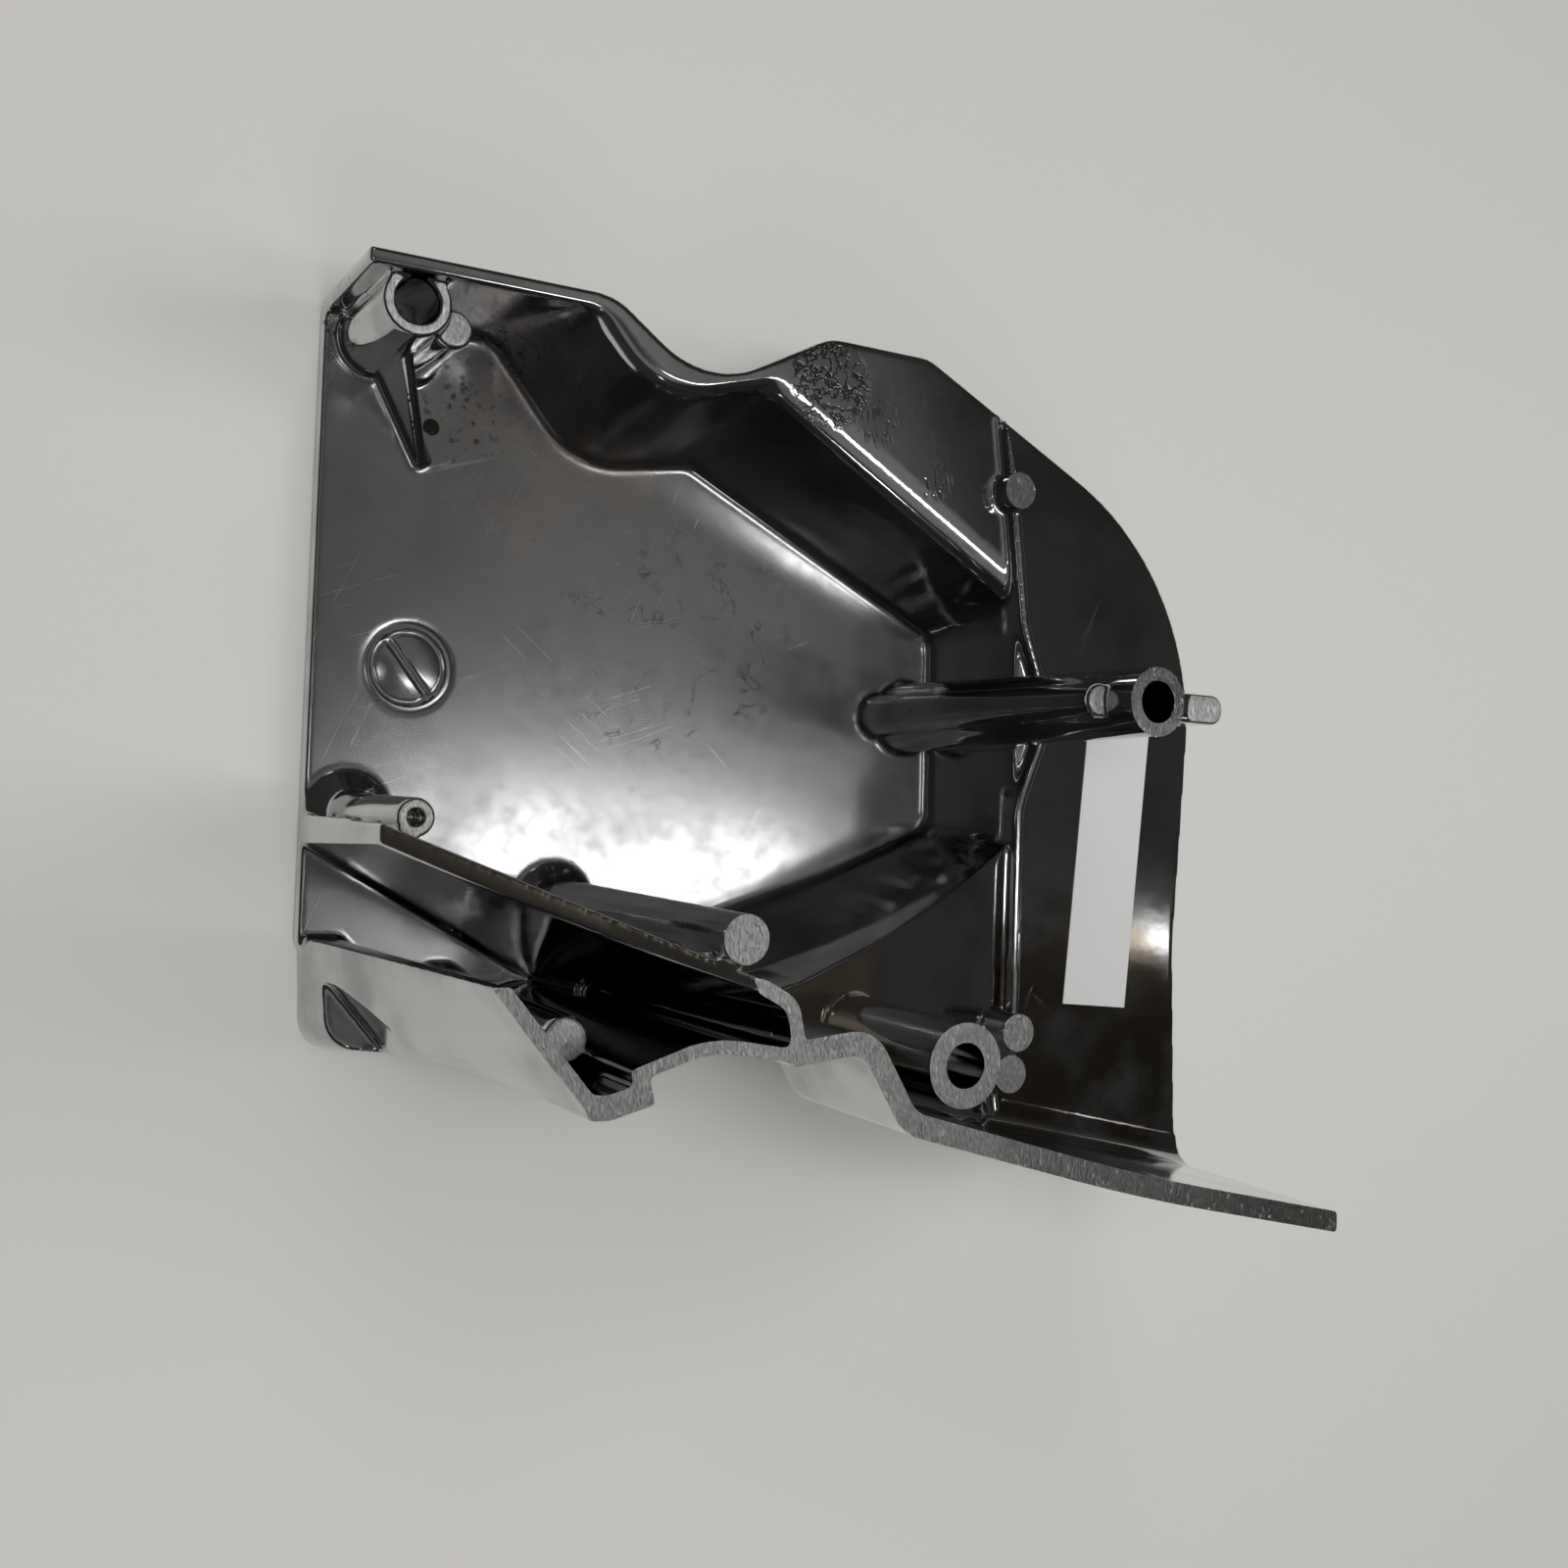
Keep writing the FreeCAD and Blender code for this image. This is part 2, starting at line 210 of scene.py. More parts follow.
class Shader(Nodes):
    """The nodes of one material."""

    def __init__(self, name: str) -> None:
        """Starts a material with a bare surface."""
        self.material = bpy.data.materials.new(name)
        self.material.use_nodes = True
        super().__init__(self.material.node_tree)
        self.surface = self.node("ShaderNodeBsdfPrincipled", {}, {})
        self.node("ShaderNodeOutputMaterial", {}, {"Surface": self.surface.outputs[0]})

    def set(self, **inputs: object) -> None:
        """Feeds the surface; an underscore stands for the space in a socket's name."""
        for key, value in inputs.items():
            self.feed(self.surface.inputs[key.replace("_", " ")], value)

    def blend(self, share: Value, first: object, second: object) -> bpy.types.NodeSocket:
        """Mixes two colours."""
        made = self.node("ShaderNodeMix", {"data_type": "RGBA"}, {0: share, 6: first, 7: second})
        return made.outputs[2]


class MarkedShader(Shader):
    """A material whose marks have places on the drawing."""

    def __init__(self, name: str, drawing: Drawing) -> None:
        """Starts a material that knows its place in millimetres and its slope."""
        super().__init__(name)
        object_place = self.node("ShaderNodeTexCoord", {}, {}).outputs["Object"]
        shifted = self.node("ShaderNodeVectorMath", {"operation": "SUBTRACT"},
                            {0: object_place, 1: (drawing.left, drawing.top, 0.0)}).outputs[0]
        self.place = self.node("ShaderNodeVectorMath", {"operation": "SCALE"},
                               {0: shifted, "Scale": 1.0 / MM}).outputs[0]
        self.x, self.y, self.z = self.parts(self.place)
        normal = self.node("ShaderNodeNewGeometry", {}, {}).outputs["Normal"]
        self.rise, self.facing = self.parts(normal)[1:]

    def noise(self, scale: float, detail: float, turn: float = 0.0,
              stretch: tuple[float, float, float] = (1.0, 1.0, 1.0), bend: float = 0.0) -> Value:
        """Cloudy pattern.

        Args:
            scale: Cells per millimetre.
            detail: Finer layers.
            turn: Angle by which the pattern is turned in plan.
            stretch: How far the pattern is drawn out along each turned axis.
            bend: How much the pattern wavers.

        Returns:
            A number around one half.
        """
        laid = self.node("ShaderNodeMapping", {"vector_type": "TEXTURE"},
                         {"Vector": self.place, "Rotation": (0.0, 0.0, turn), "Scale": stretch}).outputs[0]
        made = self.node("ShaderNodeTexNoise", {},
                         {"Vector": laid, "Scale": scale, "Detail": detail, "Distortion": bend})
        return Value(self, made.outputs[0])

    def near(self, spot: Spot) -> Value:
        """Soft round spot in plan, 1 at its middle."""
        return self.around(self.x - spot.x, self.y - spot.y, spot.reach)

    @staticmethod
    def around(across: Value, along: Value, reach: float) -> Value:
        """Soft round spot from two distances to its middle, 1 at its middle."""
        return (across * across + along * along).ramp(reach * reach, 0.0)


@dataclass(frozen=True)
class RoughTop:
    """A boss top left as cast: its place and height in millimetres, and how dull its metal is."""

    spot: Spot
    height: float
    dullness: float


@dataclass(frozen=True)
class PlatedFinish:
    """Plating over a casting: satin floor, polished walls and flange, ground joint faces."""

    bright: Colour = (0.66, 0.66, 0.67, 1.0)
    satin: Colour = (0.50, 0.50, 0.505, 1.0)
    clouded: Colour = (0.36, 0.36, 0.37, 1.0)
    ground_high: Colour = (0.64, 0.64, 0.63, 1.0)
    ground_low: Colour = (0.38, 0.38, 0.375, 1.0)
    scored: Colour = (0.90, 0.90, 0.90, 1.0)
    stain: Colour = (0.060, 0.050, 0.042, 1.0)
    tarnish: Colour = (0.42, 0.36, 0.32, 1.0)
    brass: Colour = (0.64, 0.57, 0.46, 1.0)
    # dark brown coat that paints the flange's reflection of dark surroundings, with some smudging
    smudge_and_painted_reflection: Colour = (0.21, 0.17, 0.12, 1.0)
    joint_height: float = 74.0
    flange_height: float = 30.0
    scratch_turns: tuple[float, ...] = (0.35, 1.15, 2.45)
    ground_turn: float = 0.2
    bump_strength: float = 0.35
    bump_depth: float = 0.25 * MM
    crazed_floor: Spot = Spot(66.0, 26.0, 34.0)
    scraped_patch: Spot = Spot(77.0, 70.0, 8.5)
    rim_cuts: tuple[Spot, Spot] = (Spot(98.4, 56.3, 4.0), Spot(86.0, 64.8, 5.0))
    hollow_foot: Spot = Spot(40.0, 58.0, 26.0)
    flange_corner: Spot = Spot(131.0, -42.0, 34.0)
    pit: Spot = Spot(17.8, 58.9, 1.7)
    speckled_floor: Spot = Spot(23.4, 61.5, 11.0)
    rough_tops: tuple[RoughTop, ...] = (
        RoughTop(Spot(7.9, 71.2, 5.6), 28.0, 0.6), RoughTop(Spot(14.2, 68.8, 3.2), 25.5, 0.4),
        RoughTop(Spot(6.8, -4.3, 3.0), 42.0, 0.5), RoughTop(Spot(22.9, -32.9, 3.6), 60.0, 0.15),
        RoughTop(Spot(113.6, -37.6, 3.6), 39.0, 0.0), RoughTop(Spot(112.2, -44.6, 3.6), 39.0, 0.0),
        RoughTop(Spot(114.1, 56.4, 3.6), 33.6, 0.05), RoughTop(Spot(104.9, 17.4, 3.0), 68.0, 0.35),
        RoughTop(Spot(125.5, 17.3, 4.2), 69.0, 0.45))

    def material(self, drawing: Drawing) -> bpy.types.Material:
        """Builds the finish.

        Args:
            drawing: Where the drawing lies.

        Returns:
            The material.
        """
        shader = MarkedShader("plated_casting", drawing)
        x, z, facing = shader.x, shader.z, shader.facing
        inside = facing.ramp(-0.5, -0.2) * shader.rise.ramp(0.5, 0.2)
        floor = z.ramp(7.0, 4.5) * facing.ramp(0.75, 0.95)
        joint, dull = self._ground_tops(shader)
        edge = z.ramp(32.0, 36.0) * facing.ramp(0.7, 0.9) * x.ramp(86.0, 80.0)
        cloud = shader.noise(0.06, 5.0)
        mottle = shader.noise(0.28, 3.0).ramp(0.35, 0.80) * floor
        peel = shader.noise(0.5, 2.0)
        lines = self._scratches(shader) * facing.ramp(0.75, 0.95)
        grime = self._grime(shader) * inside
        brown = self._brown(shader) * inside
        chatter = self._chatter(shader)
        strokes = shader.noise(4.2, 3.0, self.ground_turn, (1.0, 4.0, 1.0))
        flecks = shader.noise(1.6, 3.0, self.ground_turn, (1.0, 3.0, 1.0)).ramp(0.60, 0.68)
        ground = shader.blend(strokes.ramp(0.38, 0.62), self.ground_low, self.ground_high)
        ground = shader.blend(flecks, ground, self.scored)
        colour = shader.blend(floor, self.bright, self.satin)
        # one of these coats paints a dark reflection, with some smudging, onto the flange's lower corner
        for share, coat in ((cloud.ramp(0.40, 0.70) * 0.8, self.clouded), (mottle * 0.5, self.clouded),
                            (self._veins(shader) * floor, self.stain), (brown, self.tarnish),
                            (edge, self.brass), (self._smudge_and_painted_reflection(shader), self.smudge_and_painted_reflection), (lines * 0.4, self.scored),
                            (joint, ground), (grime.larger(chatter * 0.8), self.stain)):
            colour = shader.blend(share, colour, coat)
        polished = Gloss.POLISHED.value
        rough = floor * (Gloss.SATIN.value - polished) + joint * (Gloss.GROUND.value - polished) + polished
        rough = rough + (cloud - 0.5) * 0.12 + lines * 0.08 + grime * 0.3 + chatter * 0.2
        rough = rough + mottle * 0.05 + brown * 0.2 + edge * 0.15
        height = peel * 0.05 + joint * (strokes + flecks) * 0.8 - chatter * 1.2
        bump = shader.node("ShaderNodeBump", {}, {"Strength": self.bump_strength, "Distance": self.bump_depth,
                                                  "Height": height})
        shader.set(Base_Color=colour, Roughness=rough, Metallic=1.0 - dull, Normal=bump.outputs[0])
        return shader.material

    def _ground_tops(self, shader: MarkedShader) -> tuple[Value, Value]:
        """Joint faces and boss tops, which aren't polished.

        Args:
            shader: Material that gets them.

        Returns:
            1 on a ground face and 0 beside it, and how dull the metal is there.
        """
        joint = self.joint_height
        ground = shader.z.ramp(joint - 0.5, joint - 0.2) * shader.facing.ramp(0.8, 0.95)
        dull = 0.0
        for top in self.rough_tops:
            level = abs(shader.z - top.height).ramp(0.5, 0.3) * shader.facing.ramp(0.85, 0.97)
            face = shader.near(top.spot).ramp(0.0, 0.15) * level
            ground = ground.larger(face)
            dull = (face * top.dullness).larger(dull)
        return ground, dull

    def _scratches(self, shader: MarkedShader) -> Value:
        """Long thin lines in a few directions.

        Args:
            shader: Material that gets them.

        Returns:
            1 on a scratch and 0 beside it.
        """
        lines = 0.0
        for turn in self.scratch_turns:
            drawn = shader.noise(0.22, 0.0, turn, (60.0, 1.0, 1.0), 0.35)
            sparse = shader.noise(0.05, 1.0, turn + 1.0).ramp(0.52, 0.66)
            lines = (abs(drawn - 0.5).ramp(0.0035, 0.0) * sparse).larger(lines)
        return lines

    def _veins(self, shader: MarkedShader) -> Value:
        """Thin dark crazing over the middle of the floor.

        Args:
            shader: Material that gets it.

        Returns:
            How dark it is, from 0 to 1.
        """
        crazed = abs(shader.noise(0.14, 5.0, bend=0.5) - 0.5).ramp(0.014, 0.0)
        broken = shader.noise(0.22, 2.0, 0.7).ramp(0.44, 0.60)
        return shader.near(self.crazed_floor) * crazed * broken * 0.55

    def _chatter(self, shader: MarkedShader) -> Value:
        """Scraped patch at the flange's upper corner and short cuts along its rim.

        Args:
            shader: Material that gets them.

        Returns:
            Depth of the marks, from 0 to 1.
        """
        flange = self.flange_height
        level = shader.z.ramp(flange - 1.5, flange - 0.5) * shader.z.ramp(flange + 1.0, flange + 0.4)
        cracks = abs(shader.noise(0.5, 3.0) - 0.5).ramp(0.07, 0.01)
        cuts = shader.noise(1.8, 1.0, 0.25, (1.0, 4.0, 1.0)).ramp(0.55, 0.65)
        patch = shader.near(self.scraped_patch).ramp(0.0, 0.5) * cracks
        first, second = (shader.near(spot) for spot in self.rim_cuts)
        return (patch + first.larger(second) * cuts * 0.6) * level

    def _brown(self, shader: MarkedShader) -> Value:
        """Brown tarnish below the hollow.

        Args:
            shader: Material that gets it.

        Returns:
            How much tarnish there is, from 0 to 1.
        """
        ragged = shader.noise(0.10, 3.0).ramp(0.30, 0.75)
        return shader.near(self.hollow_foot) * shader.z.ramp(29.0, 20.0) * ragged * 0.8

    def _smudge_and_painted_reflection(self, shader: MarkedShader) -> Value:
        """Painted dark brown reflection on the flange's lower corner, with some smudging.

        Args:
            shader: Material that gets it.

        Returns:
            How much painted reflection and smudge there is, from 0 to 1.
        """
        ragged = shader.noise(0.09, 4.0).ramp(0.25, 0.55)
        level = abs(shader.z - self.flange_height).ramp(1.5, 0.5)
        return shader.near(self.flange_corner).ramp(0.0, 0.5) * level * ragged * 0.9

    def _grime(self, shader: MarkedShader) -> Value:
        """Dark dirt under the upper wall and round the upper post, and a pit in the floor.

        Args:
            shader: Material that gets it.

        Returns:
            How much dirt there is, from 0 to 1.
        """
        x, y, z = shader.x, shader.y, shader.z
        specks = shader.noise(0.8, 4.0).ramp(0.55, 0.68)
        corner = y.ramp(60.0, 76.0) * x.ramp(48.0, 30.0) * z.ramp(28.0, 8.0) * specks
        across, along = x - self.pit.x + specks * 0.6, y - self.pit.y - specks * 0.4
        pit = shader.around(across, along, self.pit.reach).ramp(0.15, 0.35) * z.ramp(5.0, 4.0)
        spots = shader.near(self.speckled_floor) * specks
        return (corner.larger(spots) * 0.8).larger(pit)


@dataclass(frozen=True)
class PaperFinish:
    """Blank white label paper."""

    sheet: Colour = (0.58, 0.58, 0.57, 1.0)
    roughness: float = 0.6

    def material(self) -> bpy.types.Material:
        """Builds the finish."""
        shader = Shader("label_paper")
        shader.set(Base_Color=self.sheet, Roughness=self.roughness)
        return shader.material


@dataclass(frozen=True)
class TableFinish:
    """Pale, slightly sheeny table."""

    top: Colour = (0.62, 0.608, 0.578, 1.0)
    roughness: float = 0.5

    def material(self) -> bpy.types.Material:
        """Builds the finish."""
        shader = Shader("pale_table")
        shader.set(Base_Color=self.top, Roughness=self.roughness)
        return shader.material


@dataclass(frozen=True)
class FlatTop:
    """A boss whose top is flat: the spot that its flat fills and its height, in millimetres."""

    spot: Spot
    height: float

    def holds(self, drawing: Drawing, point: Vector) -> bool:
        """Says whether a point lies within reach in plan."""
        middle = drawing.place(self.spot.x, self.spot.y, 0.0)
        return (point.xy - middle.xy).length < self.spot.reach * MM


@dataclass
class Casting:
    """The cover itself: its solid with every cast edge eased and its joint faces ground flat afterwards."""

    drawing: Drawing
    finish: bpy.types.Material
    flat_tops: tuple[FlatTop, ...] = (
        FlatTop(Spot(113.6, -37.6, 3.5), 39.0), FlatTop(Spot(112.2, -44.6, 3.5), 39.0),
        FlatTop(Spot(114.1, 56.4, 3.5), 33.6))
    merge_distance: float = 0.002 * MM
    joint_height: float = 74.0 * MM
    grinding: float = 1.0 * MM
    skin: float = 0.05 * MM
    voxel: float = 0.36 * MM
    easing: float = 0.5
    easing_rounds: int = 14
    kept_share: float = 0.115
    normal_weight: int = 100
    hair: float = 1e-7
    sliver: float = 1e-6

    def build(self) -> bpy.types.Object:
        """Casts, grinds and dresses the cover.

        Returns:
            The piece that stands for the solid.
        """
        mesh = self._ground(self._cast())
        mesh.materials.append(self.finish)
        piece = bpy.data.objects.new("cover_casting", mesh)
        bpy.context.scene.collection.objects.link(piece)
        weights = piece.modifiers.new("weights", "WEIGHTED_NORMAL")
        weights.mode, weights.weight, weights.keep_sharp = "FACE_AREA", self.normal_weight, True
        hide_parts("sprocket_cover")
        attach(piece, "root")
        return piece

    def _cast(self) -> bpy.types.Mesh:
        """Eases the edges of a copy of the solid whose joint faces still have metal to grind off.

        Returns:
            The eased mesh.
        """
        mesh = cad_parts["sprocket_cover"].data.copy()
        mesh.materials.clear()
        shape = bmesh.new()
        shape.from_mesh(mesh)
        bmesh.ops.remove_doubles(shape, verts=shape.verts, dist=self.merge_distance)
        tops = [vert for vert in shape.verts if vert.co.z > self.joint_height - self.skin]
        for top in self.flat_tops:
            tops += [vert for vert in shape.verts
                     if abs(vert.co.z - top.height * MM) < self.skin and top.holds(self.drawing, vert.co)]
        bmesh.ops.translate(shape, verts=list(dict.fromkeys(tops)), vec=(0.0, 0.0, self.grinding))
        shape.to_mesh(mesh)
        shape.free()
        rough = bpy.data.objects.new("rough_casting", mesh)
        bpy.context.scene.collection.objects.link(rough)
        voxels = rough.modifiers.new("voxels", "REMESH")
        voxels.mode, voxels.voxel_size = "VOXEL", self.voxel
        ease = rough.modifiers.new("ease", "SMOOTH")
        ease.factor, ease.iterations = self.easing, self.easing_rounds
        thin = rough.modifiers.new("thin", "DECIMATE")
        thin.ratio = self.kept_share
        eased = bpy.data.meshes.new_from_object(rough.evaluated_get(bpy.context.evaluated_depsgraph_get()))
        bpy.data.objects.remove(rough)
        eased.name = "cover_casting"
        return eased

    def _ground(self, mesh: bpy.types.Mesh) -> bpy.types.Mesh:
        """Grinds the joint faces flat.

        Args:
            mesh: The eased casting.

        Returns:
            The same mesh, flat at the joint height and at the flat tops, and smooth up to their edges.
        """
        shape = bmesh.new()
        shape.from_mesh(mesh)
        high = self.joint_height - self.grinding
        standing = [face for face in shape.faces if face.calc_center_median().z > high]
        self._grind(shape, standing, self.joint_height)
        for top in self.flat_tops:
            self._grind(shape, self._standing(shape, top), top.height * MM)
        for face in shape.faces:
            face.smooth = True
        shape.to_mesh(mesh)
        shape.free()
        return mesh

    def _standing(self, shape: bmesh.types.BMesh, top: FlatTop) -> list[bmesh.types.BMFace]:
        """Finds the faces of one boss that stand above its level, spreading out from its middle.

        Args:
            shape: The eased casting.
            top: The boss.

        Returns:
            Its faces, those that cross the level included.
        """
        level = top.height * MM
        edge = [face for face in shape.faces if abs(face.calc_center_median().z - level - self.grinding)
                < self.grinding / 2 and top.holds(self.drawing, face.calc_center_median())]
        found = dict.fromkeys(edge)
        while edge:
            for side in edge.pop().edges:
                for face in side.link_faces:
                    if face not in found and max(vert.co.z for vert in face.verts) > level:
                        found[face] = None
                        edge.append(face)
        return list(found)

    def _grind(self, shape: bmesh.types.BMesh, faces: list[bmesh.types.BMFace], level: float) -> None:
        """Grinds faces down to a level.

        Args:
            shape: Mesh that is ground.
            faces: The faces that the wheel may reach.
            level: Height of the ground face in metres.
        """
        edges = dict.fromkeys(edge for face in faces for edge in face.edges)
        verts = dict.fromkeys(vert for face in faces for vert in face.verts)
        cut = bmesh.ops.bisect_plane(shape, geom=[*verts, *edges, *faces], dist=self.hair,
                                     plane_co=(0.0, 0.0, level), plane_no=(0.0, 0.0, 1.0))
        for item in cut["geom_cut"]:
            if isinstance(item, bmesh.types.BMEdge):
                item.smooth = False
        flat = [item for item in cut["geom"]
                if isinstance(item, bmesh.types.BMVert) and item.co.z > level - self.hair]
        for vert in flat:
            vert.co.z = level
        sides = dict.fromkeys(edge for vert in flat for edge in vert.link_edges)
        bmesh.ops.dissolve_degenerate(shape, dist=self.sliver, edges=list(sides))


@dataclass
class CastMark:
    """Round mark in the floor: a rim, a groove and a slotted disc."""

    drawing: Drawing
    finish: bpy.types.Material
    centre: tuple[float, float] = (15.7, 19.5)
    rim_section: tuple[tuple[float, float], ...] = (
        (6.1, 1.6), (6.15, 2.8), (6.4, 3.1), (6.95, 3.12), (7.4, 2.95), (7.6, 1.6))
    rim_steps: int = 96
    disc_radius: float = 5.25
    disc_base: float = 1.6
    disc_top: float = 2.95
    disc_bevel: float = 0.22
    slot_width: float = 1.5
    slot_turn: float = math.radians(-52.0)
    sharp_turn: float = math.radians(40.0)

    def build(self) -> bpy.types.Object:
        """Models and dresses the mark.

        Returns:
            Its object.
        """
        shape = bmesh.new()
        self._rim(shape)
        self._disc(shape)
        bmesh.ops.rotate(shape, verts=shape.verts, matrix=Matrix.Rotation(self.slot_turn, 3, "Z"))
        bmesh.ops.scale(shape, verts=shape.verts, vec=(MM, MM, MM))
        bmesh.ops.translate(shape, verts=shape.verts, vec=self.drawing.place(*self.centre, 0.0))
        for face in shape.faces:
            face.smooth = True
        for edge in shape.edges:
            edge.smooth = edge.calc_face_angle(0.0) < self.sharp_turn
        mesh = bpy.data.meshes.new("cast_mark")
        shape.to_mesh(mesh)
        shape.free()
        mesh.materials.append(self.finish)
        piece = bpy.data.objects.new("cast_mark", mesh)
        bpy.context.scene.collection.objects.link(piece)
        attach(piece, "root")
        return piece

    def _rim(self, shape: bmesh.types.BMesh) -> None:
        """Spins the rim's section round."""
        corners = [shape.verts.new((radius, 0.0, height)) for radius, height in self.rim_section]
        sides = [shape.edges.new((corners[index - 1], corners[index])) for index in range(len(corners))]
        bmesh.ops.spin(shape, geom=corners + sides, cent=(0.0, 0.0, 0.0), axis=(0.0, 0.0, 1.0),
                       angle=math.tau, steps=self.rim_steps, use_merge=True)
        bmesh.ops.remove_doubles(shape, verts=shape.verts, dist=1e-4)
        bmesh.ops.recalc_face_normals(shape, faces=shape.faces)

    def _disc(self, shape: bmesh.types.BMesh) -> None:
        """Makes the two halves of the disc on either side of its slot."""
        half = self.slot_width / 2
        disc = bmesh.new()
        bmesh.ops.create_circle(disc, cap_ends=True, radius=self.disc_radius, segments=self.rim_steps,
                                matrix=Matrix.Translation((0.0, 0.0, self.disc_base)))
        for side in (-half, half):
            bmesh.ops.bisect_plane(disc, geom=[*disc.verts, *disc.edges, *disc.faces], dist=1e-5,
                                   plane_co=(0.0, side, 0.0), plane_no=(0.0, 1.0, 0.0))
        middle = [face for face in disc.faces if abs(face.calc_center_median().y) < half]
        bmesh.ops.delete(disc, geom=middle, context="FACES")
        grown = bmesh.ops.extrude_face_region(disc, geom=list(disc.faces), use_keep_orig=True)["geom"]
        raised = [item for item in grown if isinstance(item, bmesh.types.BMVert)]
        bmesh.ops.translate(disc, verts=raised, vec=(0.0, 0.0, self.disc_top - self.disc_base))
        bmesh.ops.recalc_face_normals(disc, faces=disc.faces)
        tops = [item for item in grown if isinstance(item, bmesh.types.BMEdge)]
        bmesh.ops.bevel(disc, geom=tops, offset=self.disc_bevel, segments=2, profile=0.5, affect="EDGES",
                        material=-1)
        halves = bpy.data.meshes.new("halves")
        disc.to_mesh(halves)
        disc.free()
        shape.from_mesh(halves)
        bpy.data.meshes.remove(halves)


@dataclass
class Label:
    """The paper label."""

    finish: PaperFinish

    def build(self) -> bpy.types.Object:
        """Gives the solid its paper finish.

        Returns:
            The label's own object.
        """
        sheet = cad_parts["stock_label"]
        sheet.data.materials.clear()
        sheet.data.materials.append(self.finish.material())
        return sheet


@dataclass(frozen=True)
class Lamp:
    """A soft lamp: places on the drawing in millimetres, its size in metres and its power in watts."""

    name: str
    at: tuple[float, float, float]
    aim: tuple[float, float, float]
    size: tuple[float, float]
    watts: float
    mirrored: bool = True

    def build(self, drawing: Drawing) -> None:
        """Hangs the lamp; polished metal shows it where it is mirrored.

        Args:
            drawing: Where the drawing lies.
        """
        data = bpy.data.lights.new(self.name, "AREA")
        data.shape = "RECTANGLE"
        data.size, data.size_y = self.size
        data.energy = self.watts
        lamp = bpy.data.objects.new(self.name, data)
        lamp.visible_glossy = self.mirrored
        lamp.location = drawing.place(*self.at)
        lamp.rotation_mode = "QUATERNION"
        lamp.rotation_quaternion = (drawing.place(*self.aim) - lamp.location).to_track_quat("-Z", "Y")
        bpy.context.scene.collection.objects.link(lamp)


COVER_MIDDLE = (80.0, 5.0, 20.0)
OVERHEAD = (-149.0, 5.0, 1096.0)
RIGHT_SIDE = (965.0, 96.0, 667.0)
LOWER_SIDE = (55.0, -680.0, 750.0)
UPPER_SIDE = (-60.0, 700.0, 780.0)
SMALL_LAMP = (0.06, 0.06)
WIDE_BOX = (0.5, 0.5)
SIDE_BOX = (0.4, 0.4)


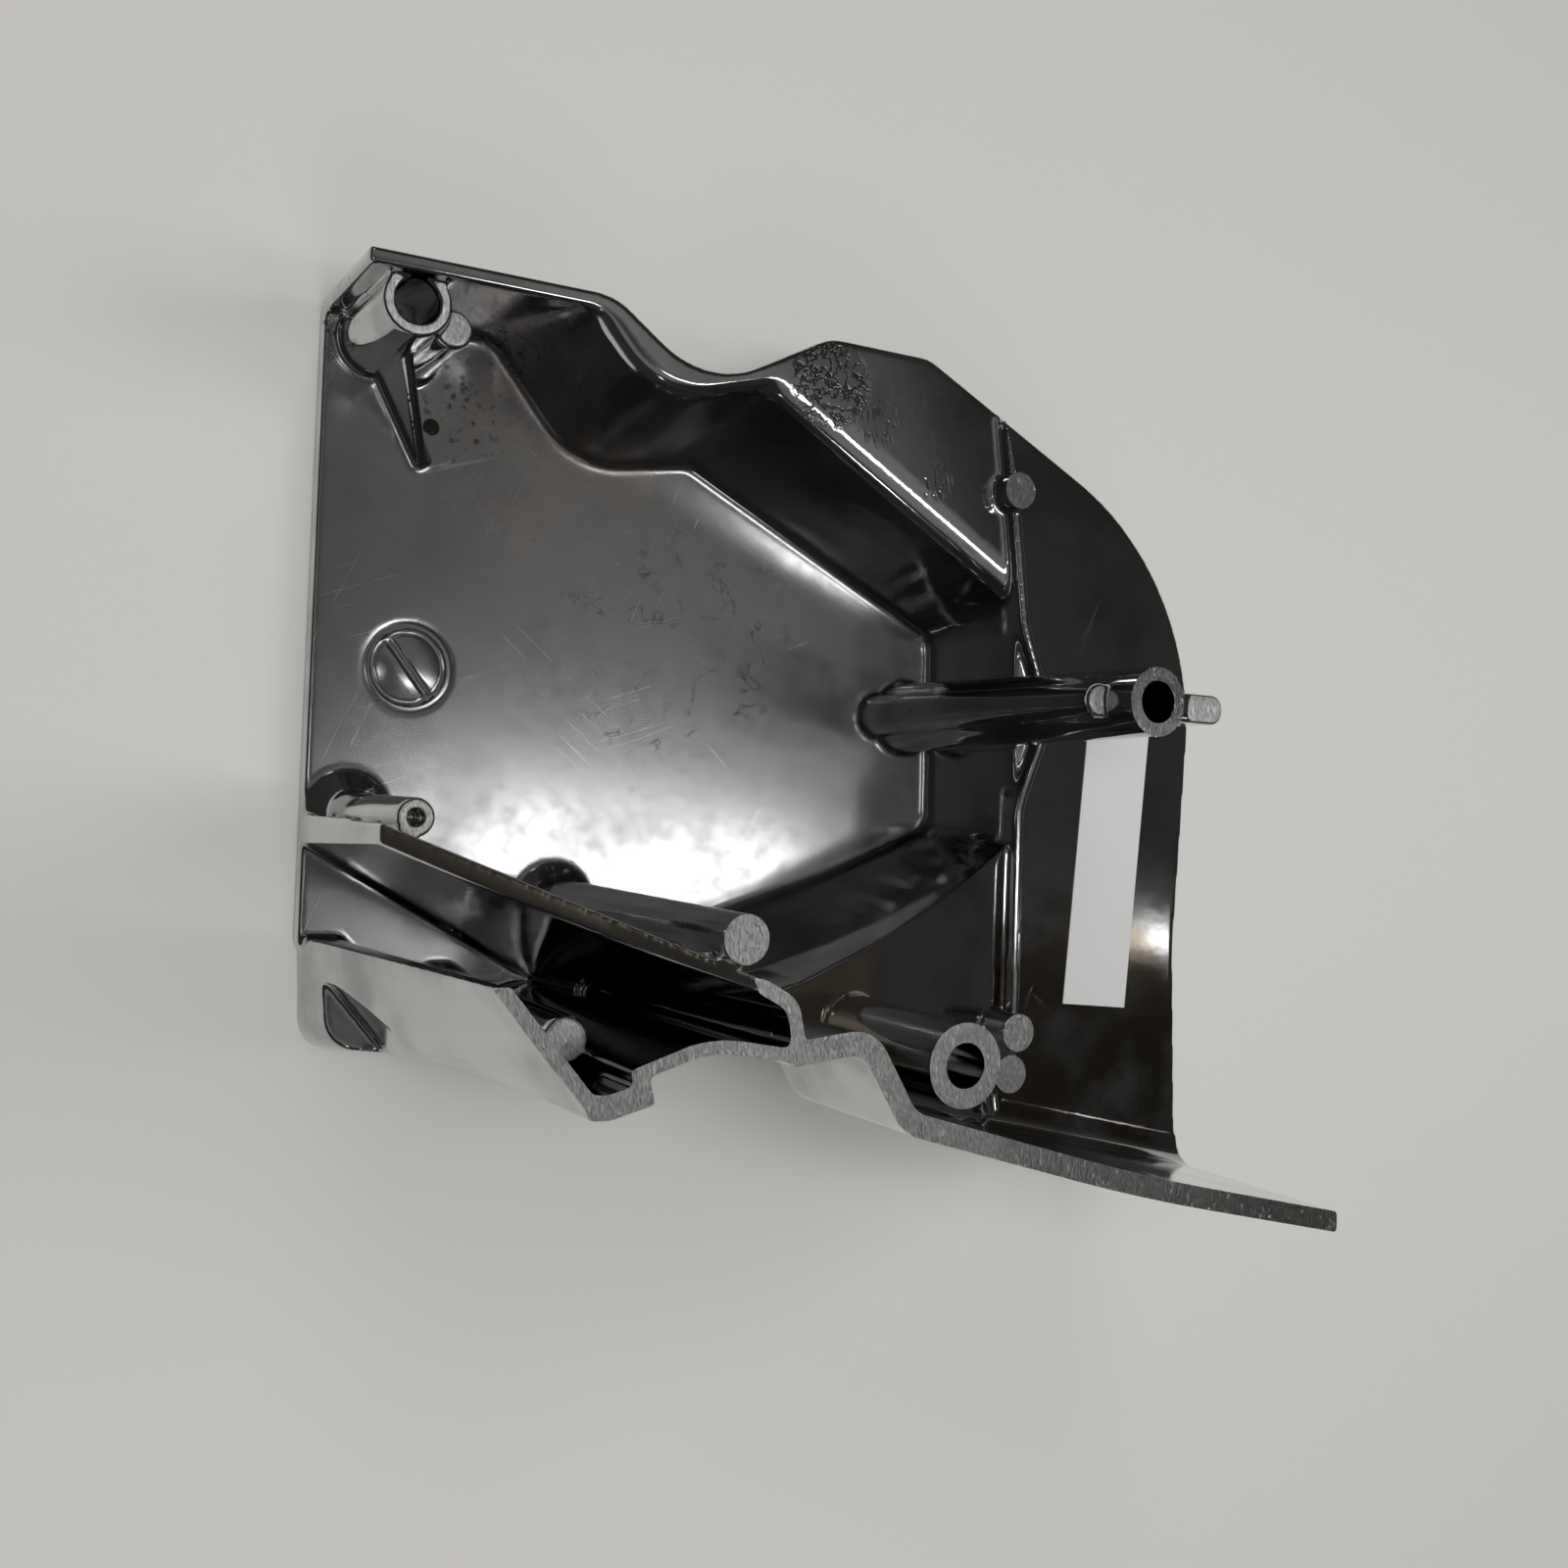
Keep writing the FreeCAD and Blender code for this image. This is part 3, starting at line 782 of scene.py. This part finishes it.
@dataclass
class Studio:
    """Table, lamps, surroundings and camera."""

    drawing: Drawing
    finish: TableFinish
    table_size: float = 6.0
    table_drop: float = 0.2 * MM
    eye: tuple[float, float, float] = (-56.95, -2.49, 261.0)
    tilt: float = math.radians(29.0)
    roll: float = math.radians(2.5)
    lens: float = 37.125
    sensor: float = 36.0
    clip: tuple[float, float] = (0.01, 20.0)
    room: tuple[tuple[float, Colour], ...] = (
        (0.0, (0.055, 0.051, 0.047, 1.0)), (0.35, (0.030, 0.029, 0.027, 1.0)),
        (0.80, (0.029, 0.029, 0.028, 1.0)), (0.85, (0.170, 0.170, 0.164, 1.0)),
        (0.92, (0.185, 0.185, 0.178, 1.0)), (1.0, (0.040, 0.041, 0.040, 1.0)))
    lamps: tuple[Lamp, ...] = (
        Lamp("ceiling_lamp", (283.0, -35.0, 555.0), (51.0, -13.0, 3.0), (0.04, 0.22), 0.19),
        Lamp("flange_lamp", (813.0, -85.0, 775.0), (150.0, -22.0, 30.0), (0.008, 0.06), 0.014),
        Lamp("top_lamp", OVERHEAD, COVER_MIDDLE, SMALL_LAMP, 0.13),
        Lamp("lower_lamp", LOWER_SIDE, COVER_MIDDLE, SMALL_LAMP, 0.05),
        Lamp("upper_lamp", UPPER_SIDE, COVER_MIDDLE, SMALL_LAMP, 0.09),
        Lamp("top_softbox", OVERHEAD, COVER_MIDDLE, WIDE_BOX, 6.6, mirrored=False),
        Lamp("right_softbox", RIGHT_SIDE, COVER_MIDDLE, WIDE_BOX, 3.4, mirrored=False),
        Lamp("lower_softbox", LOWER_SIDE, COVER_MIDDLE, SIDE_BOX, 1.0, mirrored=False),
        Lamp("upper_softbox", UPPER_SIDE, COVER_MIDDLE, SIDE_BOX, 1.0, mirrored=False))

    def build(self) -> None:
        """Makes all of it."""
        self._table()
        self._surroundings()
        for lamp in self.lamps:
            lamp.build(self.drawing)
        self._camera()

    def _table(self) -> None:
        """Flat table under the cover."""
        mesh = bpy.data.meshes.new("table")
        shape = bmesh.new()
        bmesh.ops.create_grid(shape, x_segments=1, y_segments=1, size=self.table_size / 2,
                              matrix=Matrix.Translation((0.0, 0.0, -self.table_drop)))
        shape.to_mesh(mesh)
        shape.free()
        mesh.materials.append(self.finish.material())
        table = bpy.data.objects.new("table", mesh)
        bpy.context.scene.collection.objects.link(table)

    def _surroundings(self) -> None:
        """Dim room whose brightness changes with height."""
        world = bpy.data.worlds.new("room")
        world.use_nodes = True
        nodes = Nodes(world.node_tree)
        way = nodes.node("ShaderNodeTexCoord", {}, {}).outputs["Generated"]
        glow = nodes.node("ShaderNodeValToRGB", {"stops": self.room}, {0: nodes.parts(way)[2]})
        sky = nodes.node("ShaderNodeBackground", {}, {"Color": glow.outputs[0]})
        nodes.node("ShaderNodeOutputWorld", {}, {0: sky.outputs[0]})
        bpy.context.scene.world = world

    def _camera(self) -> None:
        """Camera at the photograph's place and angle."""
        ahead = Vector((math.cos(self.roll), math.sin(self.roll), 0.0))
        up = Vector((-math.sin(self.roll), math.cos(self.roll), 0.0))
        down = Vector((0.0, 0.0, -1.0))
        forward = ahead * math.sin(self.tilt) + down * math.cos(self.tilt)
        right = ahead * math.cos(self.tilt) - down * math.sin(self.tilt)
        data = bpy.data.cameras.new("camera")
        data.lens, data.sensor_width = self.lens, self.sensor
        data.clip_start, data.clip_end = self.clip
        camera = bpy.data.objects.new("camera", data)
        turned = Matrix((right, up, -forward)).transposed()
        camera.matrix_world = Matrix.Translation(self.drawing.place(*self.eye)) @ turned.to_4x4()
        bpy.context.scene.collection.objects.link(camera)
        bpy.context.scene.camera = camera


def main() -> None:
    """Builds the dressed cover and its studio."""
    logging.basicConfig(level=logging.INFO, format="%(message)s")
    bpy.context.scene.view_settings.view_transform = "Standard"
    drawing = Drawing.of_cover()
    plating = PlatedFinish().material(drawing)
    for assembly in (Casting(drawing, plating), CastMark(drawing, plating), Label(PaperFinish())):
        piece = assembly.build()
        log.info("%s: %d faces", piece.name, len(piece.data.polygons))
    Studio(drawing, TableFinish()).build()


if __name__ == "__main__":
    main()
